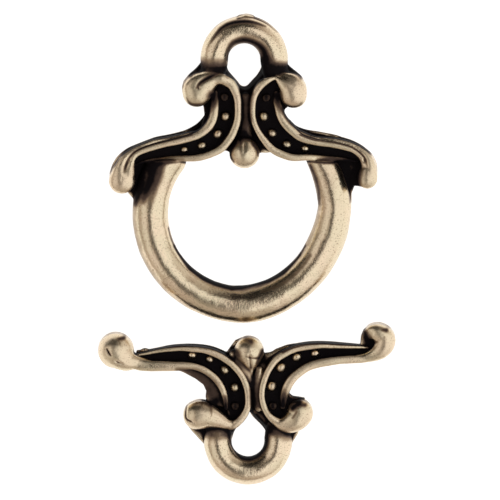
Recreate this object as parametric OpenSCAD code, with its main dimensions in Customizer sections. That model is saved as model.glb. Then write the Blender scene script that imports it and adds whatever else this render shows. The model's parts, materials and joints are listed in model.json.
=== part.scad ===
// Two-part toggle clasp in cast, antiqued metal: a ring half and a bar half, both lying on flat backs.
// Millimetres. X runs along the bar, Y from the bar to the ring, Z up from the surface they lie on.

/* [Ring half] */
// Clear width of the hoop
hoop_opening = 12.4; // [8:0.1:24]
// Width of the hoop's tube, seen from the front
hoop_tube = 3.1; // [1.6:0.1:6]
// Half width of the scrolls, from the axis to the end of a tip
ring_reach = 11.4; // [7:0.1:22]
// Height of the eye's centre above the hoop's centre
ring_rise = 13.2; // [8:0.1:26]

/* [Bar half] */
// Half length of the bar
bar_reach = 12.65; // [8:0.05:25]
// Height of the row of beads above the eye's centre
bar_rise = 7.5; // [5:0.1:15]

/* [Eyes] */
// Clear width of an eye
eye_hole = 2.7; // [1.6:0.1:5]
// Width of an eye's tube, seen from the front
eye_tube = 2.4; // [1:0.05:4]

/* [Relief] */
// Height of the highest curl above the flat back
thickness = 3; // [2:0.1:5]
// Height of the rims beside a channel
rim_h = 2.7; // [1.8:0.1:4.5]
// Width of a rim
rim_w = 0.44; // [0.3:0.01:0.9]
// Radius of a bead in a channel
bead_r = 0.26; // [0.15:0.01:0.5]
// Radius of the centre drop
drop_r = 1.17; // [0.6:0.01:2]

/* [Layout] */
// Gap between the two halves as they lie
halves_gap = 1.1; // [0.6:0.1:10]
// Sideways offset of the ring half from the bar half
ring_offset = -0.25; // [-2:0.05:2]

/* [Hidden] */
$fn = 64;
brass = [0.78, 0.70, 0.55];
share = 0.01;
hoop_r = (hoop_opening + hoop_tube) / 2;
eye_r = (eye_hole + eye_tube) / 2;
eye_half = eye_r + eye_tube / 2;
hoop_top = 0.89 * thickness;
hoop_x = -1.2 * share * ring_reach;
hoop_end = 36.9 * share * ring_rise;
eye_top = 0.85 * thickness;
eye_sweep = 228;
floor_h = 0.62 * rim_h;
shelf_h = 0.67 * rim_h;
web_h = 0.46 * rim_h;
steps = 2;
dome_steps = 6;
ring_drop_at = [0.5 * ring_reach, 38.3 * ring_rise, 0] * share;
bar_drop_r = 1.16 * drop_r;
bar_drop_at = [0.8 * bar_reach, 104 * bar_rise, 0] * share;
bar_eye_x = 1.2 * share * bar_reach;
ball_r = 0.515 * thickness;
ball_at = [-87.8 * bar_reach, 104.5 * bar_rise, 0] * share;
hook_web_r = 0.44 * thickness;
hook_web_at = [87.4 * bar_reach, 115 * bar_rise, 0] * share;
bar_top = bar_drop_at.y + bar_drop_r;
overall = eye_half + ring_rise + hoop_r + hoop_tube / 2 + halves_gap + bar_top + eye_half;
ring_at = [ring_offset, overall / 2 - eye_half - ring_rise];
bar_at = [0, eye_half - overall / 2];

// Section of a scroll. Columns: rim it hangs on (0 outer, 1 inner), step past that rim in rim widths,
// height in rim heights
SECTION = [
    [0, -0.45, 0.00], [0, -0.72, 0.45], [0, -0.50, 0.87], [0, 0.00, 1.00], [0, 0.40, 0.90],
    [0, 0.58, 0.62], [1, -0.58, 0.62], [1, -0.40, 0.90], [1, 0.00, 1.00], [1, 0.42, 0.90],
    [1, 0.64, 0.72], [1, 1.20, 0.80], [1, 1.52, 0.55], [1, 1.42, 0.00],
];

// Scrolls, from the tip to the eye. Columns: outer rim x and y, inner rim x and y, as percent of the
// half's reach and rise, and the height as a percent of the rim's height
RING_LEFT = [
    [-83, 33, -85, 36.4, 78], [-76, 35, -78.5, 41, 84], [-66, 37, -69, 44.5, 90], [-54, 37.7, -57, 46.8, 96],
    [-41, 37, -45, 48.5, 100], [-29, 38, -36, 51, 102], [-18, 42, -28.5, 54.7, 104],
    [-9, 49.4, -24, 60, 104], [-4, 59, -22, 66.5, 104], [-3, 68.5, -21.8, 73, 103],
    [-3.7, 77.7, -21.4, 78, 100], [-7.6, 85, -21, 82.5, 92], [-12.5, 88.4, -19.5, 85.5, 88],
];
RING_RIGHT = [
    [90, 34.3, 92.3, 37.6, 78], [82.6, 36.6, 86.3, 41.2, 84], [72, 38, 76, 44.8, 90],
    [60, 38.7, 63.2, 46.5, 96], [48.3, 37.4, 50.5, 48, 100], [37, 37.6, 40.8, 51, 102],
    [26.7, 40.4, 33.4, 55, 104], [17.3, 46.8, 28.5, 59.3, 104], [10.6, 55.4, 25.8, 65.2, 104],
    [7.5, 65.2, 24.4, 71.8, 103], [7.6, 75.7, 24, 77.7, 100], [11.7, 84.3, 23.7, 81.5, 92],
    [17.5, 88.4, 23.9, 84.4, 88],
];
BAR_LEFT = [
    [-79, 102, -78, 94.6, 80], [-67.4, 104.7, -66.7, 93.5, 88], [-56, 107.6, -56, 93.5, 94],
    [-44.5, 109, -46, 93, 98], [-34, 109, -37, 91, 101], [-23, 104.7, -29.4, 87, 103],
    [-13.6, 97, -23, 80, 104], [-6.6, 86.3, -18.3, 71.4, 104], [-1.8, 72, -15, 61, 104],
    [0.5, 57, -13.3, 50.8, 103], [0.8, 43.3, -12.6, 42.2, 98], [-2.2, 30.5, -11.6, 34.5, 90],
    [-6.5, 24, -11, 28.8, 84],
];
BAR_RIGHT = [
    [83.2, 108.4, 82.5, 100.7, 80], [73, 110.4, 73, 99, 88], [61.7, 111.7, 62.3, 97.2, 94],
    [50.2, 111.8, 52.2, 94.6, 98], [38.8, 110, 42.8, 90.4, 101], [29.4, 105.5, 35.4, 84.6, 103],
    [21, 95.5, 29.7, 76.6, 104], [15, 83.5, 26.4, 67.4, 104], [11.5, 69.7, 24.4, 57, 104],
    [10.6, 54.8, 23.3, 48, 103], [12.3, 40, 23.7, 38.7, 98], [15.2, 30, 24, 32.6, 92],
    [19.5, 24, 24, 28.5, 86],
];

// Curls, tips and ball necks. Columns: x and y as percent of the half's reach and rise, radius and
// height as percent of the thickness
RING_LEFT_CURL = [
    [-6.9, 83.3, 9, 84], [-10.6, 87.2, 12, 86], [-16.6, 88.4, 20, 90], [-23.3, 85.8, 32, 96],
    [-29.6, 81.8, 39, 100], [-33.8, 78.6, 40, 100],
];
RING_RIGHT_CURL = [
    [21, 90.4, 8, 84], [27, 88, 14, 88], [32.6, 83.8, 27, 94], [36.4, 80.2, 36, 100],
    [38.4, 77.8, 38, 100],
];
RING_LEFT_TIP = [
    [-77, 41.6, 13, 74], [-84.1, 38.9, 18, 80], [-88.9, 35.3, 23, 86], [-91.2, 31.1, 28, 90],
    [-91.2, 26, 35, 94], [-90, 21.2, 36, 94],
];
RING_RIGHT_TIP = [
    [75.9, 46.2, 13, 74], [84.1, 43.5, 16, 80], [90, 39.9, 18, 86], [94.1, 35.3, 20, 90],
    [95, 30, 22, 94], [93, 23.6, 28, 94],
];
BAR_LEFT_NECK = [[-66, 89.5, 12, 74], [-77.3, 89.5, 17, 82], [-82, 92.5, 26, 88], [-86, 99, 34, 90]];
BAR_RIGHT_HOOK = [
    [78, 97.4, 12, 76], [87, 99, 17, 84], [92.6, 106.6, 24, 92], [94, 117, 24, 96],
    [91.4, 125, 24, 96], [87.4, 127, 23, 92],
];
BAR_LEFT_CURL = [
    [-3.6, 25, 10, 82], [-9.6, 20, 14, 86], [-15.6, 22.6, 24, 92], [-22.3, 27.8, 37, 98],
    [-29, 29.4, 42, 100], [-32.8, 29.4, 42, 100],
];
BAR_RIGHT_CURL = [
    [14.6, 26, 11, 82], [20.7, 20.4, 19, 88], [27.4, 19.6, 30, 94], [33.8, 26.2, 38, 100],
    [36.2, 34, 37, 98],
];

// Beads in a channel. Columns: x and y as percent of the half's reach and rise, size as a percent of
// the bead's radius
RING_BEADS = [
    [-14.4, 78.6, 80], [-13.1, 65.1, 100], [-19, 53.6, 100], [-30.9, 45.8, 90], [-44, 43.1, 75],
    [17.3, 78, 80], [15.2, 64.9, 100], [21.3, 54, 95], [32.8, 46.5, 90], [46, 44.1, 80],
];
BAR_BEADS = [
    [-7.2, 41.1, 80], [-7.6, 62.7, 95], [-14.3, 82.8, 95], [-24.5, 94.8, 80], [-36.3, 99.4, 90],
    [18, 41.5, 85], [17.3, 63.8, 110], [23.3, 85.1, 110], [34.1, 97.1, 100], [46.2, 101.7, 90],
];

// Low webs that tie the castings together. Columns: x and y as percent of the half's reach and rise
RING_NECK = [
    [-33, 95], [-38, 90], [-45, 82], [-30, 74], [-24, 60], [-20, 42], [-15, 39.5], [-8, 36.5],
    [9, 36.5], [16, 39.5], [24, 39], [26, 60], [32, 74], [45, 83], [40, 90], [36, 95],
];
RING_LEFT_WEB = [[-88, 36], [-58, 38], [-70, 8], [-79, 8], [-86, 14]];
RING_RIGHT_WEB = [[92, 36], [57, 38], [70, 8], [79.5, 10], [92, 20]];
BAR_NECK = [
    [-17, 98], [-10, 104], [13, 102], [20, 103.5], [28, 100], [24, 70], [26, 34], [35, 12], [30, -4],
    [-26, -4], [-34, 10], [-14, 40], [-16, 62],
];
BAR_LEFT_WEB = [
    [-66, 87.5], [-50, 86.5], [-41, 83.5], [-33, 77], [-28, 67], [-26.5, 56], [-26, 34], [-14, 36],
    [-20, 74], [-32, 90],
];

// Pointed end of an eye's opening. Columns: x and y as percent of the eye's clear width
EYE_POINT = [
    [-47, 0], [47, 0], [49, 20], [38, 46], [24, 64], [4, 80], [-4, 80], [-24, 64], [-38, 46], [-49, 20],
];

// Curve through four rows, and through a whole table
function between(a, b, c, d, t) =
    0.5 * (2 * b + (c - a) * t + (2 * a - 5 * b + 4 * c - d) * t ^ 2 + (3 * b - 3 * c + d - a) * t ^ 3);
function smooth(rows) = let (last = len(rows) - 1) concat(
    [for (i = [0:last - 1], j = [0:steps - 1])
        between(rows[max(i - 1, 0)], rows[i], rows[i + 1], rows[min(i + 2, last)], j / steps)],
    [rows[last]]);

// Solid skin over a row of upright sections with equal numbers of points; cap lists the triangles that
// close one section
module skin(sections, cap) {
    n = len(sections);
    m = len(sections[0]);
    walls = [for (s = [0:n - 2], i = [0:m - 1], half = [0, 1])
        let (a = s * m + i, b = s * m + (i + 1) % m)
        half == 0 ? [a, b, b + m] : [a, b + m, a + m]];
    first = [for (t = cap) [t[2], t[1], t[0]]];
    last = [for (t = cap) [t[0], t[1], t[2]] + [1, 1, 1] * (n - 1) * m];
    polyhedron(points = [for (s = sections) each s], faces = concat(walls, first, last));
}

// Rimmed channel that tapers along its table; hand is 1 where the inner rim lies on the left as the
// table runs from the tip to the eye, and -1 where it lies on the right
module scroll(table, reach, rise, hand) {
    rows = hand > 0 ? table : [for (i = [len(table) - 1:-1:0]) table[i]];
    cap = concat([for (i = [0:3]) [i, i + 1, 5]], [[0, 5, 6], [0, 6, 13]],
        [for (i = [7:9]) [6, i, i + 1]], [[6, 10, 13], [10, 11, 12], [10, 12, 13]]);
    skin([for (row = smooth(rows))
        let (outer = [row[0] * reach, row[1] * rise] * share,
             inner = [row[2] * reach, row[3] * rise] * share,
             across = (inner - outer) / norm(inner - outer))
        [for (p = SECTION) let (spot = (p[0] == 0 ? outer : inner) + across * p[1] * rim_w)
            [spot.x, spot.y, p[2] * rim_h * row[4] * share]]], cap);
}

// Rounded ridge that swells along its table and ends in a dome
module curl(rows, reach, rise) {
    line = [for (r = smooth(rows))
        [r[0] * reach * share, r[1] * rise * share, r[2] * thickness * share, r[3] * thickness * share]];
    last = len(line) - 1;
    ahead = [for (i = [0:last]) let (d = line[min(i + 1, last)] - line[max(i - 1, 0)], v = [d.x, d.y])
        v / norm(v)];
    tip = [for (a = [25, 50, 72]) let (r = line[last][2])
        [line[last].x + ahead[last].x * r * sin(a), line[last].y + ahead[last].y * r * sin(a),
         r * cos(a), line[last][3] - 0.5 * r * (1 - cos(a))]];
    path = concat(line, tip);
    skin([for (i = [0:len(path) - 1])
        let (p = path[i], v = ahead[min(i, last)], side = [-v.y, v.x], up = min(0.9 * p[2], 0.6 * p[3]))
        [[p.x - side.x * p[2], p.y - side.y * p[2], 0],
         for (k = [0:dome_steps]) let (a = 180 * k / dome_steps)
            [p.x - side.x * p[2] * cos(a), p.y - side.y * p[2] * cos(a), p[3] - up + up * sin(a)],
         [p.x + side.x * p[2], p.y + side.y * p[2], 0]]],
        [for (i = [1:dome_steps + 1]) [0, i, i + 1]]);
}

// Tube bent through a sweep about a middle direction, on a straight-sided foot that is cut flat
module tube_ring(mid_r, width, top, middle, sweep) rotate([0, 0, middle - sweep / 2]) {
    foot_w = 0.84 * width;
    rotate_extrude(angle = sweep, $fn = 96) intersection() {
        translate([mid_r, top - width / 2]) circle(d = width);
        translate([mid_r - width, 0]) square([2 * width, 2 * top]);
    }
    rotate_extrude(angle = sweep, $fn = 96)
        translate([mid_r - foot_w / 2, 0]) square([foot_w, top - width / 2]);
}

module web(rows, reach, rise, top)
    linear_extrude(height = top) polygon([for (p = rows) [p.x * reach, p.y * rise] * share]);

module beads(rows, reach, rise)
    for (b = rows) translate([b.x * reach * share, b.y * rise * share, floor_h])
        sphere(r = bead_r * b[2] * share, $fn = 20);

// Teardrop opening of an eye, just inside its tube, with its point up the Y axis (1) or down it (-1)
module eye_opening(way) translate([0, 0, -thickness]) linear_extrude(height = 3 * thickness) {
    circle(d = 0.97 * eye_hole, $fn = 48);
    polygon([for (p = EYE_POINT) [p.x, way * p.y] * share * eye_hole]);
}

// Round bead that runs out to a point, a length away along Y
module drop(r, length) hull($fn = 28) {
    translate([0, 0, thickness - r]) sphere(r = r);
    translate([0, length, 0]) cylinder(r = 0.12 * r, h = 0.6 * thickness);
    cylinder(r = 0.9 * r, h = 0.3 * thickness);
}

// Ball that is cut flat at the back
module ball_end() translate(ball_at) intersection() {
    translate([0, 0, 0.9 * ball_r]) sphere(r = ball_r);
    translate([-2 * ball_r, -2 * ball_r, 0]) cube(4 * ball_r);
}

module clasp_ring() color(brass) translate([ring_at.x, ring_at.y, 0]) {
    intersection() {
        translate([hoop_x, 0, 0]) tube_ring(hoop_r, hoop_tube, hoop_top, 0, 360);
        translate([-2, -2, -1] * hoop_r) cube([4 * hoop_r, 2 * hoop_r + hoop_end, 2 * hoop_r]);
    }
    difference() {
        union() {
            translate([0, ring_rise, 0]) tube_ring(eye_r, eye_tube, eye_top, 90, eye_sweep);
            web(RING_NECK, ring_reach, ring_rise, web_h);
        }
        translate([0, ring_rise, 0]) eye_opening(-1);
    }
    web(RING_LEFT_WEB, ring_reach, ring_rise, web_h);
    web(RING_RIGHT_WEB, ring_reach, ring_rise, web_h);
    scroll(RING_LEFT, ring_reach, ring_rise, 1);
    scroll(RING_RIGHT, ring_reach, ring_rise, -1);
    curl(RING_LEFT_CURL, ring_reach, ring_rise);
    curl(RING_RIGHT_CURL, ring_reach, ring_rise);
    curl(RING_LEFT_TIP, ring_reach, ring_rise);
    curl(RING_RIGHT_TIP, ring_reach, ring_rise);
    beads(RING_BEADS, ring_reach, ring_rise);
    translate(ring_drop_at) drop(drop_r, 1.45 * drop_r);
}

module toggle_bar() color(brass) translate([bar_at.x, bar_at.y, 0]) {
    difference() {
        union() {
            translate([bar_eye_x, 0, 0]) tube_ring(eye_r, eye_tube, eye_top, 270, eye_sweep);
            web(BAR_NECK, bar_reach, bar_rise, web_h);
        }
        translate([bar_eye_x, 0, 0]) eye_opening(1);
    }
    web(BAR_LEFT_WEB, bar_reach, bar_rise, shelf_h);
    scroll(BAR_LEFT, bar_reach, bar_rise, -1);
    scroll(BAR_RIGHT, bar_reach, bar_rise, 1);
    curl(BAR_LEFT_NECK, bar_reach, bar_rise);
    curl(BAR_RIGHT_HOOK, bar_reach, bar_rise);
    curl(BAR_LEFT_CURL, bar_reach, bar_rise);
    curl(BAR_RIGHT_CURL, bar_reach, bar_rise);
    beads(BAR_BEADS, bar_reach, bar_rise);
    ball_end();
    translate(hook_web_at) cylinder(r = hook_web_r, h = web_h);
    translate(bar_drop_at) drop(bar_drop_r, -1.38 * bar_drop_r);
}

clasp_ring();
toggle_bar();
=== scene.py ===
import json
import math

import bpy
import numpy as np
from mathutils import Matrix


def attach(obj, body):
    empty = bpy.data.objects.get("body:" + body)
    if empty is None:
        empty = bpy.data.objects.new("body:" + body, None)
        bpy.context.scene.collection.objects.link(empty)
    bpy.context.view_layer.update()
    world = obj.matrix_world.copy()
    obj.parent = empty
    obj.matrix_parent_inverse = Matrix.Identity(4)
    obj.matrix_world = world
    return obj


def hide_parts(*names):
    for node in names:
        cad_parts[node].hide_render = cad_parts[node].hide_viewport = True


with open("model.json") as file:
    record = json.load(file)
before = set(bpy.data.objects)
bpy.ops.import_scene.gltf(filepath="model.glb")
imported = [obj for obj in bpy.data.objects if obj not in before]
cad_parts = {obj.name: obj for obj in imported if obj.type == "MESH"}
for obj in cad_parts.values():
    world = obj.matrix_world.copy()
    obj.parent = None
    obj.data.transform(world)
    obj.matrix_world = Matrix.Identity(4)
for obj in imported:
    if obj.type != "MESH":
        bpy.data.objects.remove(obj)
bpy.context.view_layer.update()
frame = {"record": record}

import openvdb as vdb
from mathutils import Vector

# Lengths in the tables are millimetres from the centre of the half's own eye, X to the right, Y towards the
# top of the photograph, Z up from the flat back. Their places were picked by hand in pixels of the photograph
# and turned into rounded millimetres by a scratch script, and many were then changed by hand. A ridge's
# columns are x, y, half width and top, and an edge's are the same without the top. A crease's are x, y, width
# and depth. A stain's are x, y, width and strength. An outline's are x and y. Low stains stay below the rims
# and curls, and worn places are brighter.
MM = 0.001

# Grid of distances, their greatest value, and the most triangles of a casting
VOXEL = 0.06
FAR = 1.0
TRIANGLES = 190000
# Points that a curve gets for each row of its table, and the room round a shape on the grid
CURVE_STEPS = 5
FEW_STEPS = 4
MARGIN = 0.6
BEAD_MARGIN = 0.5
# Corners of the halves' grids
RING_GRID = ((-11.9, -22.9, -0.25), (11.9, 4.1, 3.3))
BAR_GRID = ((-12.9, -3.9, -0.25), (12.6, 10.6, 3.3))

# Cast surface: heights and sizes of its slight lumps
LUMPS = ((0.018, 0.9), (0.007, 0.35))

# Tarnish and painted shade: spreads and shares of the two measures of a recess, where it turns black, the
# painted shade on steep sides that face left and back, and the ranges that these take effect over
CROWDING = ((0.15, 0.45), (0.38, 0.55))
RECESS_FROM = 0.47
RECESS_SPAN = 0.15
# Painted shade: how dark steep sides that face left and back are made
SIDE_SHADE_LEFT = 0.45
SIDE_SHADE_BEHIND = 0.92
STEEP = (0.6, 0.9)
FACING_LEFT = (0.2, 0.8)
FACING_REAR = (0.45, 0.85)
SIDE_SHADE_Z = (0.3, 0.7)
FRONT_Z = (0.1, 0.4)
COARSE = (0.33, 0.43)
UNSHADED_EDGE = (-0.1, 0.05)
DULL_EDGE = (0, 0.3)
DULL_LOBES = 0.6
SOOT_EDGE = (0.12, 0.32)
BEAD_WORN = (0.9, 1.15)

# Metal: colours, scale per metre and detail of its noises, and how much they change the rest
PEACH = (0.81, 0.655, 0.47, 1)
OLIVE = (0.77, 0.655, 0.46, 1)
SPECK = (0.36, 0.25, 0.16, 1)
BRONZE = (0.36, 0.26, 0.17, 1)
BROWN = (0.1, 0.065, 0.05, 1)
BLACK = (0.008, 0.006, 0.007, 1)
CLOUDS = (900, 4)
PATCHES = (420, 2)
GRAINS = (5200, 2)
SPECKS = (9000, 1)
CLOUD_TARNISH = 0.25
GRAIN_TARNISH = 0.15
GRAIN_ROUGH = 0.12
FINE_ROUGH = 0.16
GRAIN_HEIGHT = 0.5
SPECK_HEIGHT = 0.25
BUMP_STRENGTH = 0.3
BUMP_HEIGHT = 0.00008
# Range of a noise or of the tarnish and painted shade over which something changes, some with its values
# at both ends
TO_OLIVE = (0.35, 0.65)
TO_SPECK = (0.57, 0.7, 0, 0.6)
TO_BRONZE = (0.05, 0.35)
TO_BROWN = (0.3, 0.6)
TO_BLACK = (0.6, 0.85)
ROUGHNESS = (0.05, 0.7, 0.24, 0.6)
METALLIC = (0.35, 0.85, 1, 0)
GLOSS = (0.4, 0.7, 0.5, 0.03)

# Heights and roundings that both halves share
FLOOR_Z = 1.67
SHELF_Z = 1.8
WEB_Z = 1.24
FLANGE_Z = 0.7
EDGE_TOP = 0.85
BACK_ROUND = 0.3
STOP_ROUND = 0.3
BEAD_R = 0.42
BEAD_Z = FLOOR_Z + 0.08
SOOT_LOW_Z = 2.05
SOOT_TOP_Z = 2.35
LOW_STAIN_Z = 2.3
LOW_STAIN_TOP_Z = 2.5

# Light as ordered soft patches of the half vector: x, y, half width, half height, softness and level
LIGHT_BASE = 0.42
LIGHT_CARDS = [
    # Below
    (0, -0.38, 2, 0.1, 0.12, 0.52), (0, -0.57, 2, 0.1, 0.12, 0.44), (0, -0.8, 2, 0.16, 0.12, 0.44),
    # Above
    (-0.22, 0.45, 0.37, 0.22, 0.1, 0.01), (0, 0.8, 2, 0.12, 0.1, 0.38),
    # Left
    (-0.36, 0.02, 0.14, 0.28, 0.1, 0.8), (-0.7, 0.02, 0.14, 0.28, 0.12, 0.45),
    # Right
    (0.37, -0.02, 0.39, 0.3, 0.08, 1), (0.65, 0.44, 0.32, 0.18, 0.1, 0.7),
    (0.33, -0.33, 0.14, 0.14, 0.16, 0.9), (0.52, -0.52, 0.1, 0.1, 0.12, 0.55),
    # Dark streak between left and right
    (-0.07, 0.12, 0.075, 0.32, 0.06, 0.01), (-0.08, -0.28, 0.06, 0.1, 0.08, 0.2),
]
LIGHT_STRENGTH = 1.1

# Ring half
HOOP_CENTRE = (-0.18, -13.32)
HOOP_MID_R = 7.72
HOOP_TUBE_R = 1.51
HOOP_TOP = 2.67
HOOP_STOP_Y = -8.6
# Share of the painted side shade that is kept off the hoop's sides
HOOP_UNSHADED = 0.45
# Degrees of the round left side
HOOP_LEFT_SIDE = (143, 251)
# The right side isn't round, and its leg narrows upwards: degrees, radius of the middle and half width
HOOP_RIGHT_SIDE = [
    (-98, 7.74, 1.54), (-87, 7.74, 1.59), (-76, 7.67, 1.59), (-65, 7.59, 1.56), (-53, 7.53, 1.54),
    (-40, 7.52, 1.53), (-27, 7.54, 1.53), (-12, 7.7, 1.52), (2, 7.93, 1.42), (10, 7.98, 1.38), (19, 8, 1.32),
    (28, 8.08, 1.23), (37, 8.2, 1.1),
]
EYE_MID_R = 2.55
EYE_TUBE_R = 1.17
EYE_TOP = 2.55
RING_EYE_CENTRE = (0.08, -0.15)
RING_EYE_LEFT_FOOT = [(-2.5, -0.9, 1.08, 2.45), (-2.65, -1.6, 1, 2.2), (-2.9, -2.3, 0.9, 1.7)]
RING_EYE_RIGHT_FOOT = [(2.66, -0.9, 1.08, 2.45), (2.8, -1.6, 1, 2.2), (3.05, -2.3, 0.9, 1.7)]
RING_EYE_HOLE = [
    (-1.4, -0.4), (-1.27, -1.05), (-0.92, -1.52), (-0.5, -2), (-0.22, -2.35), (0.05, -2.45), (0.32, -2.35),
    (0.68, -1.95), (1.05, -1.55), (1.4, -1), (1.5, -0.4), (1.4, 0.3), (-1.3, 0.3),
]
RING_NECK = [
    (-3.65, -0.5), (-4.2, -1.2), (-4.95, -2.1), (-4.6, -3.2), (-3.4, -4), (-3.3, -5), (-3.6, -5.9),
    (-2.6, -7.7), (-1.5, -7.95), (-1, -8.1), (1.1, -8.1), (1.9, -8.15), (2.7, -8.05), (3.6, -5.9), (3.4, -5),
    (3.55, -4.4), (3.95, -4.1), (4.7, -3.8), (4.95, -2.2), (4.3, -1.2), (3.7, -0.5),
]
RING_LEFT_NOOK = [
    (-9.4, -8.5), (-7.5, -8.45), (-4.85, -8.75), (-6.05, -10), (-7.95, -12.5), (-9.15, -12.2), (-9.75, -11.6),
]
RING_RIGHT_NOOK = [
    (10.85, -8.6), (7.5, -8.4), (5.4, -8.75), (6.35, -10), (8, -12), (8.6, -13.1), (9.1, -12.9), (9.2, -12.2),
    (9.2, -11.6), (9.45, -10.95), (10, -11), (10.5, -10.95),
]
RING_LEFT_LOW = [
    (-1.8, -1.65, 0.36, 2.9), (-1.15, -2, 0.39, 2.85), (-0.75, -2.6, 0.37, 2.8), (-0.5, -3.4, 0.31, 2.7),
    (-0.45, -4.4, 0.28, 2.7), (-0.5, -5.25, 0.3, 2.7), (-0.75, -6.05, 0.31, 2.7), (-1.1, -6.75, 0.31, 2.7),
    (-1.75, -7.55, 0.32, 2.7), (-2.6, -8.05, 0.31, 2.7), (-3.7, -8.4, 0.29, 2.65), (-4.85, -8.5, 0.27, 2.55),
    (-6, -8.5, 0.18, 2.35), (-7.1, -8.6, 0.14, 2.2), (-7.95, -8.7, 0.11, 2.05), (-8.7, -8.9, 0.09, 1.95),
    (-9.3, -9.2, 0.08, 1.85),
]
RING_LEFT_TOP = [
    (-2.45, -2.95, 0.26, 2), (-2.4, -3.7, 0.31, 2.4), (-2.45, -4.35, 0.34, 2.6), (-2.55, -4.95, 0.36, 2.7),
    (-2.8, -5.55, 0.36, 2.7), (-3.2, -6.05, 0.34, 2.7), (-3.85, -6.5, 0.32, 2.7), (-4.7, -6.8, 0.31, 2.7),
    (-5.7, -7.05, 0.28, 2.7), (-6.85, -7.3, 0.26, 2.7), (-7.85, -7.6, 0.25, 2.7), (-8.6, -7.85, 0.25, 2.7),
    (-9.15, -8.15, 0.25, 2.7), (-9.5, -8.6, 0.28, 2.7), (-9.6, -9.2, 0.34, 2.75), (-9.7, -9.7, 0.45, 2.8),
]
RING_LEFT_LINE = [
    (-3.75, -6.25, 0.09, 2.1), (-4.55, -6.4, 0.1, 2.2), (-5.55, -6.65, 0.11, 2.3), (-6.55, -6.85, 0.11, 2.4),
    (-7.6, -7.05, 0.12, 2.45), (-8.5, -7.4, 0.14, 2.5), (-9.2, -7.75, 0.19, 2.6), (-9.85, -8.25, 0.28, 2.65),
    (-10.25, -8.8, 0.4, 2.7), (-10.45, -9.4, 0.5, 2.75), (-10.45, -9.9, 0.6, 2.8),
]
RING_LEFT_EDGE = [
    (-3, -4.3, 0.1), (-3.15, -4.85, 0.1), (-3.45, -5.35, 0.12), (-3.95, -5.85, 0.12), (-4.75, -6.3, 0.12),
    (-5.55, -6.55, 0.13), (-6.4, -6.75, 0.13), (-7.35, -6.95, 0.13), (-8.2, -7.25, 0.13),
    (-8.95, -7.55, 0.13), (-9.75, -7.9, 0.14), (-10.45, -8.45, 0.15), (-10.95, -9.15, 0.15),
    (-11.15, -9.85, 0.13),
]
RING_LEFT_TIP = [
    (-9.5, -8.4, 0.3, 2.45), (-9.85, -8.9, 0.4, 2.5), (-10.1, -9.4, 0.6, 2.65), (-10.3, -9.85, 0.85, 2.8),
    (-10.3, -10.2, 1, 2.85), (-10.3, -10.4, 1.12, 2.9),
]
RING_LEFT_CURL = [
    (-1.2, -2.1, 0.38, 2.8), (-1.8, -1.75, 0.43, 2.9), (-2.5, -1.75, 0.58, 2.9), (-3.1, -2.15, 0.82, 2.95),
    (-3.6, -2.6, 1.1, 3), (-3.95, -2.9, 1.22, 3),
]
RING_LEFT_CURL_TOP = [
    (-2.05, -1.25, 0.13, 2.2), (-2.75, -1.3, 0.22, 2.5), (-3.45, -1.5, 0.34, 2.7), (-4.15, -1.85, 0.47, 2.8),
    (-4.5, -2.35, 0.54, 2.8),
]
RING_RIGHT_LOW = [
    (2.7, -1.6, 0.14, 2.6), (2.15, -1.8, 0.24, 2.75), (1.55, -2.2, 0.3, 2.75), (1.1, -2.8, 0.3, 2.7),
    (0.85, -3.5, 0.26, 2.7), (0.8, -4.25, 0.24, 2.7), (0.85, -5.15, 0.22, 2.7), (1.2, -6.05, 0.23, 2.7),
    (1.7, -6.85, 0.28, 2.7), (2.35, -7.6, 0.32, 2.7), (3.2, -8.1, 0.33, 2.7), (4.2, -8.4, 0.31, 2.7),
    (5.35, -8.4, 0.27, 2.65), (6.25, -8.45, 0.24, 2.5), (7.3, -8.5, 0.17, 2.3), (8.3, -8.55, 0.13, 2.15),
    (9.15, -8.7, 0.1, 2), (9.75, -8.8, 0.08, 1.9),
]
RING_RIGHT_TOP = [
    (2.85, -3.05, 0.26, 2), (2.85, -3.7, 0.3, 2.4), (3, -4.25, 0.33, 2.6), (3.2, -4.9, 0.36, 2.7),
    (3.6, -5.55, 0.36, 2.7), (4.15, -6.15, 0.34, 2.7), (4.85, -6.7, 0.32, 2.7), (5.75, -7, 0.29, 2.7),
    (6.75, -7.2, 0.26, 2.7), (7.8, -7.35, 0.24, 2.7), (8.65, -7.55, 0.23, 2.7), (9.3, -7.75, 0.23, 2.7),
    (9.85, -8.15, 0.23, 2.65), (10.2, -8.65, 0.23, 2.6), (10.35, -9.2, 0.25, 2.55),
]
RING_RIGHT_LINE = [
    (3.9, -5.5, 0.13, 2), (4.5, -6.1, 0.13, 2.15), (5.25, -6.5, 0.14, 2.25), (6.1, -6.8, 0.14, 2.35),
    (7.05, -6.9, 0.15, 2.4), (7.95, -7, 0.15, 2.45), (8.8, -7.2, 0.16, 2.5), (9.55, -7.5, 0.19, 2.55),
    (10.2, -7.95, 0.25, 2.65), (10.65, -8.5, 0.34, 2.75), (10.8, -9.1, 0.44, 2.8),
]
RING_RIGHT_EDGE = [
    (3.15, -4.3, 0.1), (3.3, -4.85, 0.1), (3.65, -5.35, 0.11), (4.15, -5.85, 0.12), (4.8, -6.15, 0.12),
    (5.5, -6.35, 0.12), (6.5, -6.5, 0.12), (7.55, -6.7, 0.12), (8.4, -6.95, 0.12), (9.15, -7.2, 0.12),
    (9.9, -7.6, 0.12), (10.6, -8.15, 0.13), (11.05, -8.75, 0.14), (11.2, -9.35, 0.14), (11.15, -9.9, 0.12),
]
RING_RIGHT_TIP = [
    (10.15, -8.4, 0.25, 2.45), (10.5, -8.9, 0.4, 2.6), (10.7, -9.4, 0.55, 2.8), (10.65, -9.8, 0.7, 2.9),
    (10.55, -10.2, 0.86, 2.95),
]
RING_RIGHT_LEAF = [
    (10.55, -9.25, 0.17, 2.4), (10.3, -9.6, 0.29, 2.55), (10.2, -10, 0.34, 2.6), (10.3, -10.4, 0.39, 2.6),
]
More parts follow.
